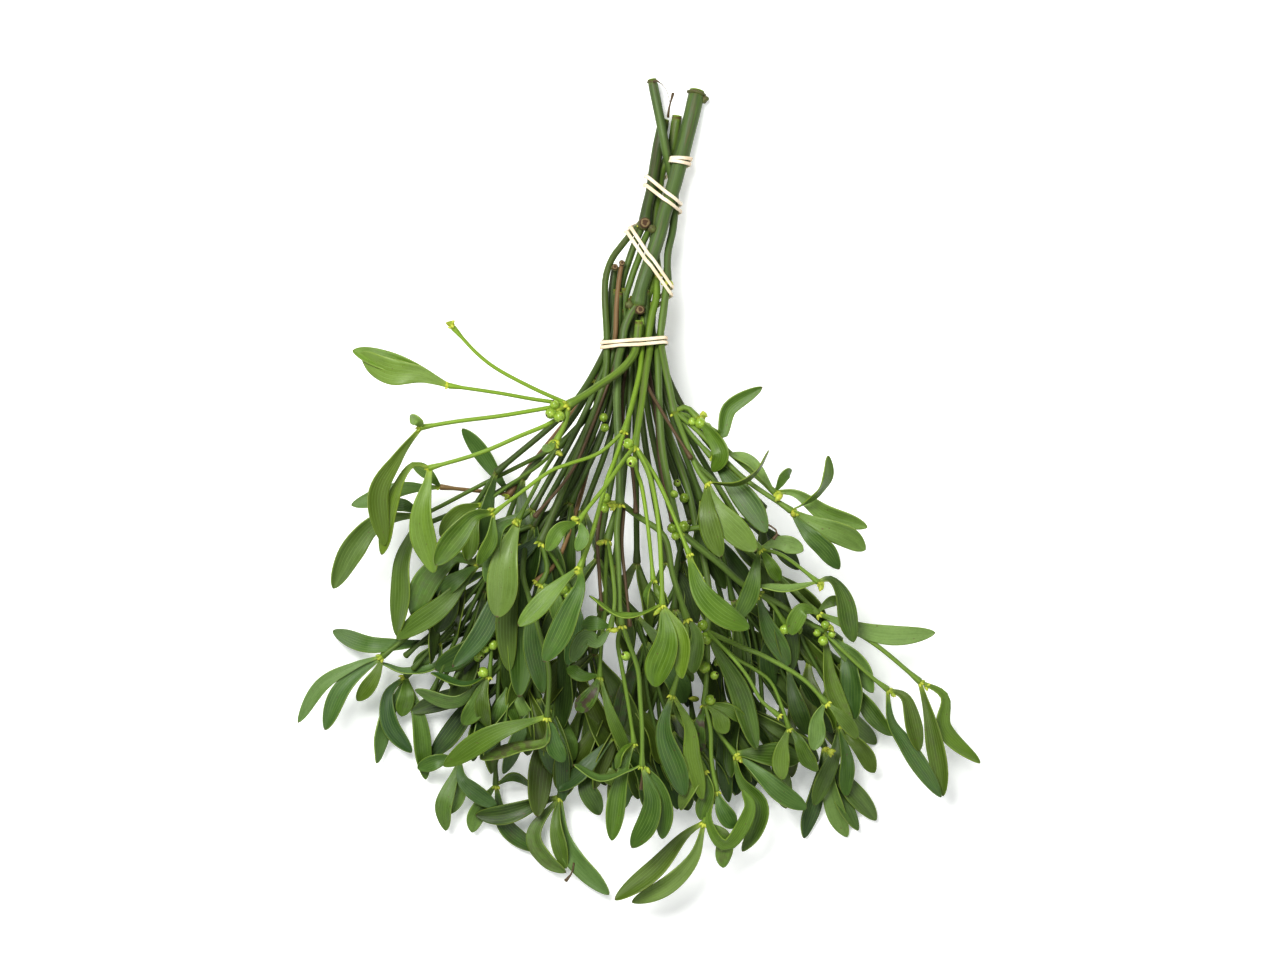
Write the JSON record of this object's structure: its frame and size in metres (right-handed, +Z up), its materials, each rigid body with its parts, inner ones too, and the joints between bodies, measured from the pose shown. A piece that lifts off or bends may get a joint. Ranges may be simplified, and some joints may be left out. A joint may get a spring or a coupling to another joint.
{
  "type": "mistletoe bunch",
  "caption": "Tied bunch of cut mistletoe sprigs with forking stems, paired leathery leaves and green berries, lying down.",
  "frame": {"origin": "middle of the bunch's length and width, on the surface it lies on", "axes": "+Y towards the cut ends of the stems, +Z up from the surface"},
  "size_m": [0.34, 0.4111, 0.1037],
  "materials": {
    "middle_leaf": "leathery living leaf and green stem",
    "front_leaf": "leathery living leaf and bright green stem",
    "upper_left_leaf": "leathery living leaf and yellow-green stem",
    "left_leaf": "leathery living leaf and dark green stem",
    "dry_twig": "dry brown bark with a few green leaves",
    "right_leaf": "leathery living leaf and pale green stem",
    "lower_left_leaf": "dark leathery living leaf",
    "lower_right_leaf": "dark leathery living leaf",
    "band_rubber": "matt natural rubber"
  },
  "bodies": {
    "root": {"sprig_middle": "middle_leaf", "sprig_front": "front_leaf", "sprig_upper_left": "upper_left_leaf", "sprig_left": "left_leaf", "twig_dry": "dry_twig", "sprig_right": "right_leaf", "sprig_lower_left": "lower_left_leaf", "sprig_lower_right": "lower_right_leaf", "rubber_band": "band_rubber"}
  },
  "joints": []
}
